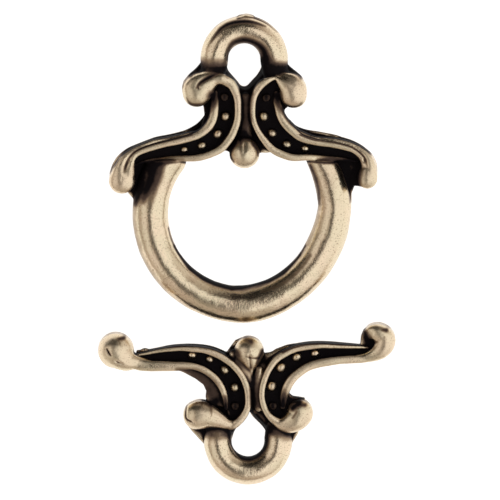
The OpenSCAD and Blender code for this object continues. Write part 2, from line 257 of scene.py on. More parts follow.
RING_RIGHT_CURL = [
    (2.8, -1.6, 0.12, 2.6), (3.15, -1.9, 0.36, 2.75), (3.6, -2.25, 0.63, 2.9), (3.95, -2.55, 0.88, 2.95),
    (4.15, -2.85, 1.05, 3), (4.28, -3.1, 1.12, 3),
]
RING_RIGHT_CURL_TOP = [
    (2.95, -1.45, 0.12, 2.3), (3.55, -1.4, 0.22, 2.5), (4.15, -1.6, 0.34, 2.65), (4.6, -1.95, 0.43, 2.75),
    (4.8, -2.4, 0.47, 2.75),
]
RING_DROP = [
    (0.1, -6.75, 0.08, 2), (0.1, -7.05, 0.37, 2.35), (0.1, -7.5, 0.82, 2.75), (0.1, -8.05, 1.25, 3),
    (0.1, -8.1, 1.25, 3),
]
RING_COLUMN = [
    (0.2, -3.4, 0.45, 1.9), (0.2, -4.2, 0.45, 1.9), (0.2, -5.2, 0.45, 1.9), (0.15, -6.3, 0.55, 1.9),
    (0.1, -7, 0.7, 1.9),
]
RING_GATE = [(-0.3, 3.45, 0.14, 1.7), (0.25, 3.55, 0.16, 1.8), (0.75, 3.45, 0.14, 1.7)]
# Beads' columns are x, y and size
RING_BEADS = [
    (-1.6, -3.3, 0.8), (-1.5, -4.95, 1), (-2.15, -6.45, 1), (-3.5, -7.45, 0.9), (-5, -7.8, 0.75),
    (1.95, -3.35, 0.8), (1.75, -4.95, 1), (2.45, -6.4, 0.95), (3.7, -7.35, 0.9), (5.25, -7.7, 0.8),
]
RING_CREASES = [
    # Tips
    [(-9.6, -8.6, 0.09, 0.08), (-9.9, -9, 0.09, 0.04), (-10.05, -9.4, 0.08, 0.01)],
    [(10.25, -8.6, 0.09, 0.08), (10.5, -9, 0.09, 0.04), (10.55, -9.4, 0.08, 0.01)],
    # Curls
    [(-2.3, -1.3, 0.1, 0.04), (-2.95, -1.6, 0.15, 0.1), (-3.7, -2.05, 0.13, 0.08), (-4, -2.45, 0.1, 0.02)],
]
# Stains, and strokes of painted shade and painted dark reflections, each marked where it stands
RING_STAINS_AND_PAINTED_SHADE = [
    # Feet of the eye and its inside
    [(-3.6, -0.5, 0.4, 0.6), (-2.65, -0.8, 0.42, 0.75), (-1.45, -0.85, 0.38, 0.9)],
    [(1.6, -0.25, 0.48, 0.8), (2.45, -0.55, 0.5, 0.75), (3.45, -0.7, 0.42, 0.75), (3.95, -0.7, 0.34, 0.7)],
    [(-1.35, -0.1, 0.14, 0.7), (-1.25, 0.75, 0.2, 0.6), (-0.85, 1.35, 0.26, 0.75), (0.05, 1.6, 0.32, 0.85),
     (1, 1.35, 0.32, 0.85), (1.65, 0.85, 0.36, 0.85), (1.95, 0.1, 0.45, 0.85)],
    [(-3.3, -0.1, 0.35, 0.25), (-2.5, -0.25, 0.4, 0.35), (-1.6, -0.3, 0.35, 0.4)],
    [(1.7, -0.85, 0.35, 0.9), (2.4, -1, 0.4, 0.8), (3.1, -1, 0.35, 0.7)],
    # Painted dark reflection in a crescent on the top of the eye
    [(-2.75, 1.4, 0.1, 0.4), (-2.35, 2, 0.14, 0.65), (-1.85, 2.6, 0.17, 0.85), (-1.1, 3, 0.18, 0.9),
     (-0.3, 3.15, 0.19, 0.9), (0.5, 3.15, 0.17, 0.9), (1.2, 3, 0.13, 0.75), (1.9, 2.75, 0.08, 0.45)],
    [(-0.5, 3.4, 0.06, 0.7), (0.25, 3.5, 0.06, 0.5), (1, 3.4, 0.06, 0.8), (2, 2.95, 0.05, 0.6),
     (2.9, 2.2, 0.05, 0.3)],
    # Shoulders
    [(-3.75, -0.6, 0.21, 1), (-4.55, -1.35, 0.21, 1)],
    [(4.05, -0.6, 0.26, 1), (5, -1.45, 0.26, 1)],
    # Underside of the left curl
    [(-4.85, -3.25, 0.1, 0.25), (-4.45, -3.85, 0.13, 0.6), (-3.45, -3.9, 0.17, 0.5)],
    # First stretch of the upper rims
    [(-2.6, -3.15, 0.43, 1), (-2.55, -3.75, 0.34, 0.75), (-2.75, -4.35, 0.26, 0.35)],
    [(2.85, -3.15, 0.43, 1), (2.95, -3.75, 0.34, 0.75), (3.2, -4.35, 0.26, 0.4)],
    # Flanks and the outer line beside the edges
    [(-3.15, -4.1, 0.21, 1), (-3.15, -4.85, 0.26, 1), (-3.5, -5.45, 0.21, 1), (-4.15, -5.95, 0.13, 1),
     (-4.7, -6.2, 0.1, 0.8)],
    [(3.45, -4.2, 0.21, 1), (3.65, -4.8, 0.21, 1), (4.15, -5.45, 0.2, 1), (4.8, -5.95, 0.16, 1),
     (5.75, -6.45, 0.12, 1), (6.75, -6.65, 0.09, 0.8)],
    # Inner line beside the upper rims
    [(-4.35, -6.45, 0.07, 0.8), (-5.55, -6.75, 0.07, 0.9), (-6.75, -7.05, 0.07, 0.9),
     (-7.75, -7.3, 0.07, 0.9), (-8.6, -7.6, 0.08, 0.9), (-9.25, -7.95, 0.09, 0.9), (-9.75, -8.5, 0.09, 0.7),
     (-10, -9, 0.08, 0.4), (-10.1, -9.6, 0.07, 0.1)],
    [(4.8, -6.45, 0.07, 0.7), (5.85, -6.85, 0.07, 0.8), (6.95, -7.05, 0.07, 0.6), (8.05, -7.2, 0.07, 0.6),
     (9, -7.45, 0.07, 0.7), (9.75, -7.85, 0.08, 0.85), (10.3, -8.4, 0.09, 0.8), (10.5, -8.9, 0.08, 0.4),
     (10.55, -9.5, 0.07, 0.1)],
    # Lower rims where they cross the hoop, and the ends of the hoop under them
    [(-5.2, -8.55, 0.26, 0.25), (-6.25, -8.65, 0.21, 0.5), (-7.35, -8.7, 0.19, 0.6),
     (-8.35, -8.85, 0.17, 0.8), (-9.1, -9.15, 0.17, 1)],
    [(6.35, -8.55, 0.21, 0.3), (7.35, -8.55, 0.26, 0.65), (8.4, -8.65, 0.26, 0.8), (9.6, -8.8, 0.34, 1)],
    [(-5.05, -8.8, 0.08, 0.3), (-6.05, -8.85, 0.1, 0.5), (-7.1, -8.95, 0.19, 0.85), (-7.95, -9.2, 0.34, 1)],
    [(5.6, -8.75, 0.1, 0.7), (6.95, -8.85, 0.08, 0.8), (8.3, -8.9, 0.11, 0.9)],
    # Nooks between the hoop and the tips
    [(-8.7, -9.3, 0.51, 1), (-8.7, -10.15, 0.51, 1), (-8.8, -11, 0.47, 1), (-9, -11.75, 0.36, 0.95),
     (-9.15, -12.4, 0.25, 0.6)],
    [(-7.7, -9.3, 0.6, 1), (-7.9, -10.3, 0.55, 0.95), (-8.25, -11.35, 0.42, 0.8), (-8.5, -12.2, 0.28, 0.45)],
    [(-6.95, -9.2, 0.35, 0.5), (-7.2, -10.2, 0.35, 0.45), (-7.6, -11.4, 0.3, 0.4), (-7.9, -12.6, 0.3, 0.3)],
    [(8.75, -9.2, 0.34, 1), (9.1, -10.3, 0.38, 1), (9.15, -11.1, 0.17, 1)],
    [(9.65, -9.2, 0.43, 1), (9.6, -10.3, 0.42, 1), (9.6, -11.05, 0.42, 1)],
    [(8.45, -9.2, 0.17, 0.8), (8.75, -10.3, 0.15, 0.8), (9.05, -11.35, 0.14, 0.6), (9.1, -12.3, 0.09, 0.4)],
    # Painted shade on the inner side of the hoop's right leg, and a painted dark reflection down its middle
    [(5.7, -9.1, 0.15, 0.6), (6.15, -10.2, 0.17, 0.6), (6.4, -11.3, 0.17, 0.5), (6.45, -12.4, 0.15, 0.4)],
    [(6.7, -9.1, 0.8, 0.16), (7.1, -10.2, 0.9, 0.16), (7.5, -11.8, 0.9, 0.12), (7.65, -13, 0.7, 0.05)],
    # Drop
    [(-0.3, -6.9, 0.26, 0.85), (0.05, -6.55, 0.3, 1), (0.5, -6.85, 0.21, 0.7)],
    [(-0.7, -7.2, 0.26, 1), (-1.05, -7.75, 0.2, 1), (-1.1, -8.3, 0.14, 0.9), (-0.8, -8.8, 0.1, 0.5)],
    [(0.8, -7.2, 0.15, 0.8), (1.2, -7.8, 0.12, 0.8), (1.25, -8.3, 0.08, 0.6)],
    # Painted dark reflection down the middle of the drop
    [(-0.2, -7.15, 0.12, 0.45), (-0.25, -7.7, 0.1, 0.3), (-0.15, -8.3, 0.08, 0.2)],
    # Beads beside the curls
    [(-1.6, -3.2, 0.4, 0.8), (-1.6, -3.4, 0.4, 0.8)],
    [(1.95, -3.25, 0.4, 0.85), (1.95, -3.45, 0.4, 0.85)],
    # Painted dark reflection on the left curl, and a mark on the column's side of the right rim
    [(-2.15, -1.2, 0.12, 0.5), (-2.85, -1.5, 0.18, 0.9), (-3.6, -1.95, 0.16, 0.75), (-4, -2.45, 0.12, 0.25)],
    [(0.75, -2.9, 0.13, 0.45), (0.6, -3.6, 0.13, 0.5), (0.55, -4.4, 0.13, 0.5), (0.7, -5.3, 0.12, 0.4)],
    # Column between the rims
    [(0.25, -2.75, 0.5, 0.9), (0.25, -3.5, 0.4, 0.6), (0.2, -4.5, 0.4, 0.55), (0.15, -5.6, 0.4, 0.6),
     (0.05, -6.5, 0.5, 0.8)],
]
RING_LOW_STAINS = [
    [(-3.9, -0.9, 0.3, 0.75), (-3.3, -1.2, 0.3, 0.75), (-2.4, -1.35, 0.3, 0.9), (-1.5, -1.5, 0.35, 1)],
    [(1.7, -1.3, 0.4, 0.95), (2.7, -1.35, 0.35, 0.9), (3.7, -1.2, 0.3, 0.75), (4.3, -1.1, 0.3, 0.75)],
    [(1.65, -0.6, 0.3, 1), (1.5, -1.2, 0.35, 1), (1.1, -1.8, 0.35, 1), (0.6, -2.4, 0.35, 1)],
    [(-1.5, -0.9, 0.2, 0.9), (-1.1, -1.6, 0.2, 0.9), (-0.6, -2.3, 0.25, 1)],
]
RING_WORN = [[(0.3, -3.4, 0.5, 0.22), (0.3, -4.4, 0.5, 0.2), (0.2, -5.4, 0.4, 0.06)]]
# Pits' columns are x, y, radius and depth
RING_PITS = [
    (-7.7, -18.05, 0.07, 0.12), (-3.8, -2.45, 0.08, 0.12), (7.05, -8.95, 0.05, 0.08),
    (7.9, -10.15, 0.06, 0.1), (8.3, -10.65, 0.05, 0.08), (7.45, -9.65, 0.04, 0.06), (-2.15, 2.25, 0.04, 0.06),
    (0.25, 3, 0.04, 0.06),
]

# Bar half
BAR_EYE_CENTRE = (0, 0.1)
BAR_EYE_MID_R = 2.57
BAR_EYE_TUBE_R = 1.18
BAR_EYE_LEFT_FOOT = [(-2.5, 0.9, 1.08, 2.45), (-2.6, 1.5, 1, 2.2), (-2.8, 2.2, 0.9, 1.7)]
BAR_EYE_RIGHT_FOOT = [(2.55, 0.9, 1.08, 2.45), (2.7, 1.5, 1, 2.2), (2.9, 2.2, 0.9, 1.7)]
BAR_EYE_HOLE = [
    (-1.25, 0.35), (-1.12, 0.8), (-0.82, 1.15), (-0.6, 1.5), (-0.25, 2), (0, 2.6), (0.2, 2.2), (0.6, 1.75),
    (1.1, 1.25), (1.4, 0.8), (1.35, 0.3), (1.3, -0.3), (-1.25, -0.3),
]
BAR_NECK = [
    (-2.5, 7.4), (-1.8, 7.6), (-1.4, 8.2), (-1.1, 8.6), (-0.6, 8.8), (0, 8.4), (1.35, 7.5), (2.4, 7.65),
    (3.3, 7.3), (3.05, 5.25), (3.15, 3.4), (4.4, 1.85), (4.3, 0.7), (3.7, -0.2), (-3.8, -0.15), (-4.7, 0.8),
    (-5.2, 1.45), (-4.1, 2.2), (-1.85, 3.15), (-2.05, 4.25),
]
BAR_LEFT_SHELF = [
    (-6.75, 6.4), (-5.5, 5.95), (-4.45, 5.4), (-3.8, 4.9), (-3.55, 4.35), (-3.6, 3.75), (-3.4, 3.25),
    (-1.7, 2.9), (-1.85, 4.9), (-3.65, 6.35),
]
BAR_HOOK_WEB = [
    (9.55, 8.3), (9.6, 9), (9.8, 9.5), (10.2, 9.75), (10.9, 9.25), (10.9, 8.1), (10.45, 7.6), (9.7, 7.85),
]
BAR_CURL_WEB = [(3.3, 4.5), (3.55, 4.05), (3.8, 3.85), (4.85, 3.7), (4.75, 2.9), (3.75, 2.4), (2.95, 2.6)]
BAR_UPPER_WEB = [(1.2, 6.8), (1.55, 7.2), (2.35, 7.85), (3.25, 8.2), (4, 8.35), (3.55, 7.65), (2.05, 6.45)]
BAR_LEFT_UPPER = [
    (-9.45, 7.45, 0.08, 2.1), (-8.6, 7.6, 0.11, 2.3), (-7.75, 7.8, 0.14, 2.5), (-6.8, 7.95, 0.18, 2.6),
    (-5.8, 8.05, 0.22, 2.65), (-4.7, 8, 0.24, 2.7), (-3.55, 7.85, 0.26, 2.7), (-2.65, 7.55, 0.28, 2.7),
    (-1.8, 7.05, 0.28, 2.7), (-1.15, 6.5, 0.27, 2.7), (-0.55, 5.75, 0.27, 2.7), (-0.15, 4.85, 0.26, 2.7),
    (0, 3.95, 0.26, 2.7), (-0.05, 3, 0.28, 2.7), (-0.45, 2.2, 0.31, 2.7), (-1, 1.65, 0.31, 2.7),
    (-1.45, 1.35, 0.26, 2.6),
]
BAR_LEFT_EDGE = [
    (-9.4, 7.65, 0.1), (-8.6, 7.7, 0.1), (-7.65, 7.85, 0.1), (-6.65, 8.05, 0.1), (-5.45, 8.15, 0.1),
    (-4.25, 8.15, 0.1), (-3.15, 8, 0.1), (-2.2, 7.65, 0.1), (-1.45, 7.25, 0.08),
]
BAR_LEFT_LOWER = [
    (-10.05, 7, 0.48, 2.5), (-9.25, 6.65, 0.47, 2.6), (-8.15, 6.55, 0.46, 2.65), (-6.9, 6.55, 0.44, 2.7),
    (-5.8, 6.55, 0.39, 2.7), (-4.85, 6.6, 0.3, 2.7), (-4, 6.35, 0.29, 2.7), (-3.3, 5.95, 0.29, 2.7),
    (-2.7, 5.4, 0.29, 2.7), (-2.25, 4.75, 0.28, 2.7), (-2, 4.05, 0.25, 2.65), (-1.9, 3.45, 0.2, 2.5),
    (-1.9, 2.9, 0.15, 2.3),
]
BAR_RIGHT_UPPER = [
    (10.2, 8.1, 0.08, 2.2), (9.35, 8.15, 0.12, 2.35), (8.35, 8.2, 0.16, 2.5), (7.2, 8.25, 0.2, 2.6),
    (6.1, 8.3, 0.23, 2.7), (5, 8.2, 0.27, 2.7), (4, 8, 0.28, 2.7), (3.1, 7.6, 0.28, 2.7),
    (2.35, 7.05, 0.28, 2.7), (1.75, 6.2, 0.26, 2.7), (1.4, 5.4, 0.25, 2.7), (1.2, 4.55, 0.24, 2.7),
    (1.2, 3.7, 0.24, 2.7), (1.45, 2.85, 0.25, 2.7), (1.85, 2.25, 0.27, 2.7), (2.45, 1.85, 0.29, 2.65),
]
BAR_RIGHT_EDGE = [
    (2.95, 7.8, 0.08), (3.8, 8.15, 0.1), (4.95, 8.3, 0.1), (6.1, 8.35, 0.1), (7.3, 8.35, 0.1),
    (8.4, 8.25, 0.1), (9.35, 8.15, 0.08),
]
BAR_RIGHT_LOWER = [
    (10.55, 7.3, 0.33, 2.5), (9.45, 7.15, 0.34, 2.6), (8.35, 7.1, 0.35, 2.65), (7.2, 7, 0.36, 2.7),
    (6.1, 6.8, 0.36, 2.7), (5.15, 6.5, 0.36, 2.7), (4.35, 6, 0.37, 2.7), (3.75, 5.45, 0.37, 2.7),
    (3.35, 4.8, 0.37, 2.65), (3.1, 4.15, 0.32, 2.5), (3, 3.55, 0.26, 2.3), (2.95, 3.05, 0.2, 2.1),
]
BAR_LEFT_BALL = [(-11.25, 7.8, 1.5, 3), (-11.2, 7.8, 1.5, 3)]
BAR_LEFT_BALL_NECK = [
    (-8.65, 6.75, 0.4, 2.5), (-9.6, 6.85, 0.57, 2.65), (-10.35, 7, 0.88, 2.8), (-10.9, 7.4, 1.2, 2.95),
]
BAR_RIGHT_HOOK = [
    (9.4, 7.15, 0.34, 2.55), (10, 7.25, 0.4, 2.6), (10.65, 7.45, 0.52, 2.7), (11.25, 7.85, 0.7, 2.85),
    (11.6, 8.4, 0.85, 2.95), (11.6, 8.95, 0.88, 3), (11.15, 9.35, 0.78, 3), (10.65, 9.45, 0.62, 2.9),
    (10.25, 9.3, 0.43, 2.6),
]
BAR_LEFT_CURL = [
    (-1, 1.6, 0.29, 2.6), (-1.75, 1.6, 0.43, 2.7), (-2.45, 1.9, 0.66, 2.8), (-3.3, 2.25, 0.96, 2.95),
    (-4, 2.35, 1.2, 3), (-4.3, 2.3, 1.2, 3),
]
BAR_RIGHT_CURL = [
    (2.05, 2, 0.24, 2.6), (2.75, 1.6, 0.48, 2.7), (3.45, 1.6, 0.78, 2.85), (4.1, 2, 1, 3),
    (4.4, 2.4, 1.09, 3), (4.4, 2.55, 1.09, 3),
]
BAR_DROP = [
    (0.3, 5.75, 0.08, 2.2), (0.25, 6.3, 0.28, 2.4), (0.2, 6.9, 0.66, 2.75), (0.1, 7.65, 1.22, 3),
    (0.05, 7.7, 1.22, 3),
]
BAR_COLUMN = [
    (0.95, 6.2, 0.3, 2.3), (0.85, 5.3, 0.45, 2.25), (0.8, 4.4, 0.5, 2.15), (0.85, 3.6, 0.5, 2.05),
    (0.95, 3, 0.4, 1.9),
]
BAR_SLOPE = [(-1.15, 7.45, 0.45, 2.2), (-0.4, 6.3, 0.45, 2.4), (0.05, 5.5, 0.35, 2.3), (0.25, 4.8, 0.2, 2.2)]
BAR_FLASH = [(-9.05, 7.75, 0.08, 1), (-8.8, 7.8, 0.12, 1.05), (-8.55, 7.8, 0.08, 1)]
BAR_BURR = [(1.6, 0.45, 0.1, 1.3), (1.5, 0.3, 0.12, 1.3), (1.6, 0.15, 0.1, 1.3)]
BAR_BEADS = [
    (-1.1, 3.1, 0.8), (-1.1, 4.7, 0.95), (-1.95, 6.2, 0.95), (-3.25, 7.1, 0.8), (-4.75, 7.45, 0.9),
    (2.1, 3.1, 0.85), (2, 4.8, 1.1), (2.8, 6.4, 1.1), (4.15, 7.3, 1), (5.7, 7.6, 0.9),
]
BAR_CREASES = [
    # Scratches and dents of the ball
    [(-12, 8.05, 0.06, 0.1), (-11.85, 7.75, 0.08, 0.18), (-11.65, 7.45, 0.05, 0.08)],
    [(-11.3, 7.05, 0.07, 0.08), (-11.05, 6.9, 0.08, 0.14), (-10.65, 6.75, 0.05, 0.06)],
    [(-12.5, 7.4, 0.06, 0.1), (-12.25, 6.95, 0.06, 0.1)],
    # Curls
    [(-5.2, 3.25, 0.06, 0.08), (-5.3, 2.6, 0.07, 0.15), (-5.25, 2.1, 0.07, 0.15), (-4.85, 1.85, 0.08, 0.15),
     (-4.5, 1.7, 0.06, 0.1)],
    # Drop
    [(-0.15, 7.4, 0.07, 0.02), (0.4, 7.25, 0.08, 0.05), (0.95, 7.25, 0.08, 0.05)],
    [(0.15, 7.6, 0.09, 0.02), (0.15, 7.2, 0.09, 0.03), (0.2, 6.5, 0.09, 0.03)],
]
BAR_STAINS = [
    # Feet of the eye and its inside
    [(-4.1, 1, 0.35, 0.35), (-3.4, 0.75, 0.5, 0.5), (-2.4, 0.7, 0.5, 0.45), (-1.45, 0.85, 0.38, 0.8)],
    [(1.7, 1, 0.38, 0.8), (2.7, 0.75, 0.45, 0.5), (3.65, 0.4, 0.4, 0.35)],
    [(1.45, 0.95, 0.21, 1), (1.55, 0.1, 0.26, 1), (1.15, -0.8, 0.26, 1), (0.4, -1.35, 0.24, 1),
     (-0.45, -1.35, 0.19, 1), (-1, -0.85, 0.15, 0.9), (-1.45, -0.1, 0.13, 0.8), (-1.6, 0.6, 0.17, 0.9)],
    # Hollow of the hook and the marks on its body
    [(9.95, 9.4, 0.26, 0.8), (10.1, 8.85, 0.38, 1), (10.35, 8.35, 0.38, 1)],
    [(11.4, 9.7, 0.15, 0.5), (11.75, 9.65, 0.2, 0.75)],
    [(11.6, 9.1, 0.09, 0.25), (11.6, 8.25, 0.09, 0.2)],
    # Ball
    [(-11, 8.85, 0.14, 0.65), (-10.55, 8.95, 0.17, 0.7)],
    [(-10.9, 8.55, 0.1, 0.35), (-10.8, 8.1, 0.09, 0.15)],
    [(-12, 8.05, 0.07, 0.6), (-11.85, 7.75, 0.08, 0.7), (-11.65, 7.45, 0.06, 0.5)],
    # Left curl
    [(-3.55, 3.35, 0.14, 0.55), (-3.15, 3.25, 0.2, 0.85)],
    [(-3.15, 2.9, 0.1, 0.45), (-3.1, 2.3, 0.09, 0.25)],
    [(-3.95, 3.3, 0.13, 0.35), (-3.85, 3.55, 0.1, 0.4)],
    [(-5.2, 3.25, 0.06, 0.4), (-5.3, 2.6, 0.07, 0.7), (-5.25, 2.1, 0.08, 0.8), (-4.85, 1.85, 0.08, 0.6)],
    # Right curl
    [(4.35, 3.3, 0.14, 0.55), (4.85, 3.25, 0.18, 0.7)],
    [(4.15, 2.7, 0.1, 0.45), (3.8, 2.15, 0.1, 0.4)],
    # Shelf
    [(-6.1, 6.3, 0.2, 0.35), (-5.25, 6.1, 0.35, 0.7), (-4.35, 5.7, 0.5, 0.9), (-3.5, 5.05, 0.6, 1),
     (-3.1, 4.3, 0.6, 1), (-2.8, 3.6, 0.5, 1)],
    # Ends of the rims
    [(3.1, 4.45, 0.26, 0.4), (3, 3.85, 0.34, 0.8), (2.95, 3.15, 0.34, 1)],
    [(3.65, 3.6, 0.34, 1), (4.35, 3.5, 0.26, 1), (3.8, 3, 0.26, 1)],
    [(-1.95, 3.9, 0.21, 0.45), (-1.9, 3.3, 0.26, 0.85), (-1.95, 2.8, 0.26, 1)],
    # Between the rims
    [(1.2, 6.8, 0.25, 0.4), (0.75, 6.05, 0.25, 0.5), (0.45, 5.1, 0.3, 0.75), (0.45, 4.1, 0.3, 0.8),
     (0.6, 3.1, 0.35, 0.8)],
    [(0.35, 5.6, 0.1, 0.75), (0.3, 4.7, 0.1, 0.85), (0.3, 3.8, 0.1, 0.85), (0.35, 2.9, 0.12, 0.85)],
    # Drop
    [(-1.35, 7.95, 0.26, 1), (-0.95, 7.65, 0.31, 0.7), (-0.75, 7.1, 0.36, 0.5), (-0.3, 6.45, 0.3, 0.35)],
    [(1.25, 7.85, 0.19, 0.8), (1, 7.35, 0.19, 0.8), (0.75, 6.8, 0.12, 0.6)],
    [(-0.15, 8.8, 0.22, 0.45), (0.25, 8.65, 0.24, 0.7)],
    [(-0.15, 7.4, 0.08, 0.35), (0.4, 7.25, 0.08, 0.55), (0.95, 7.25, 0.1, 0.6)],
    [(0.15, 7.9, 0.09, 0.2), (0.15, 7.3, 0.09, 0.35), (0.25, 6.4, 0.09, 0.6)],
    # Beads beside the curls
    [(-1.1, 3.2, 0.4, 0.8), (-1.1, 3, 0.4, 0.8)],
    [(2.1, 3.2, 0.4, 0.85), (2.1, 3, 0.4, 0.85)],
    # Lines beside the outer edges
    [(-8.35, 8.15, 0.07, 0.5), (-6.95, 8.15, 0.07, 0.7), (-5.45, 8.25, 0.07, 0.8), (-4.1, 8.25, 0.07, 0.8),
     (-3, 8, 0.07, 0.8), (-2.05, 7.6, 0.08, 0.8), (-1.35, 7.1, 0.1, 0.8)],
    [(2.95, 7.75, 0.12, 0.8), (3.9, 8.15, 0.07, 0.8), (5.1, 8.4, 0.07, 0.8), (6.55, 8.45, 0.06, 0.8),
     (8, 8.35, 0.06, 0.8), (9.25, 8.3, 0.06, 0.8)],
]
BAR_LOW_STAINS = [
    [(-4.2, 1.2, 0.35, 0.65), (-3.2, 1.3, 0.4, 0.65), (-2.4, 1.4, 0.4, 0.65), (-1.5, 1.3, 0.35, 0.9)],
    [(1.7, 1.3, 0.35, 0.9), (2.7, 1.2, 0.4, 0.65), (3.7, 0.9, 0.4, 0.6)],
    [(1.5, 1, 0.35, 1), (1.2, 1.6, 0.35, 1), (0.7, 2.2, 0.35, 1)],
    [(-1.5, 0.9, 0.2, 0.9), (-1.1, 1.5, 0.2, 0.9), (-0.5, 2.2, 0.2, 0.9)],
]
BAR_WORN = [
    [(1.3, 6.4, 0.3, 0.5), (1.05, 5.3, 0.3, 0.42), (0.95, 4.3, 0.3, 0.35), (1.05, 3.2, 0.3, 0.25)],
    [(-0.9, 6.9, 0.35, 0.45), (-0.35, 6.1, 0.35, 0.45), (0.1, 5.4, 0.25, 0.2)],
    [(-5.4, 6.1, 0.4, 0.2), (-4.3, 5.6, 0.5, 0.35), (-3.4, 4.9, 0.55, 0.38), (-2.9, 4.1, 0.5, 0.35)],
]


def blend_in(a, b, k):
    """Union of two distances with a fillet of about k."""
    h = np.clip(0.5 + 0.5 * (b - a) / k, 0, 1)
    return b + (a - b) * h - k * h * (1 - h)


def blend_out(a, b, k):
    """Part of one distance that lies inside another, with its edges rounded by about k."""
    return -blend_in(-a, -b, k)


def smoothstep(value, low, high):
    """0 at the low end and 1 at the high end, with a smooth way between them."""
    t = np.clip((value - low) / (high - low), 0, 1)
    return t * t * (3 - 2 * t)


def spline(rows, steps):
    """Points of a smooth curve through rows, from the second row to the last but one."""
    out = []
    for a, b, c, d in zip(rows, rows[1:], rows[2:], rows[3:]):
        for t in np.arange(steps) / steps:
            out.append(0.5 * (2 * b + (c - a) * t + (2 * a - 5 * b + 4 * c - d) * t**2
                              + (3 * b - 3 * c + d - a) * t**3))
    return out


def curve(rows, steps=CURVE_STEPS):
    """Smooth curve through the rows of a table."""
    rows = np.array(rows, float)
    padded = np.vstack([2 * rows[0] - rows[1], rows, 2 * rows[-1] - rows[-2]])
    return np.array(spline(padded, steps) + [rows[-1]])


def closed_curve(points):
    """Smooth loop through points."""
    count = len(points)
    around = np.array([points[i % count] for i in range(-1, count + 2)], float)
    return np.array(spline(around, FEW_STEPS))


def arc(centre, radius, start, end, wide, top, count=13):
    """Rows of a table along an arc, with its angles in degrees."""
    angles = np.radians(np.linspace(start, end, count))
    return [(centre[0] + radius * math.cos(a), centre[1] + radius * math.sin(a), wide, top) for a in angles]


def between(one, other):
    """Outline between two lines, seen from above."""
    return np.vstack([curve(one)[:, :2], curve(other)[::-1, :2]])


def edge_rows(table):
    """Rows of a low ridge from a table without its top."""
    return [(x, y, wide, EDGE_TOP) for x, y, wide in table]


# Seams left by the mould, and painted shade along the inside of the hoop's lower half, as arcs
RING_SEAMS = [arc(HOOP_CENTRE, 8.95, start, start + 35, 0.09, 0.004) for start in (225, 285)]
# Painted shade along the inner side of the hoop's lower half
RING_HOOP_SHADE = [
    arc(HOOP_CENTRE, 6.3, 190, 272, 0.07, 0.6) + arc(HOOP_CENTRE, 6.08, 292, 334, 0.07, 0.6, 7),
    arc(HOOP_CENTRE, 6.3, 205, 213, 0.08, 0.8, 2) + arc(HOOP_CENTRE, 6.34, 225, 265, 0.13, 1)
    + arc(HOOP_CENTRE, 6.12, 290, 308, 0.13, 1, 5) + arc(HOOP_CENTRE, 6.08, 320, 326, 0.08, 0.8, 2),
    arc(HOOP_CENTRE, 6.8, 285, 330, 0.2, 0.35),
]


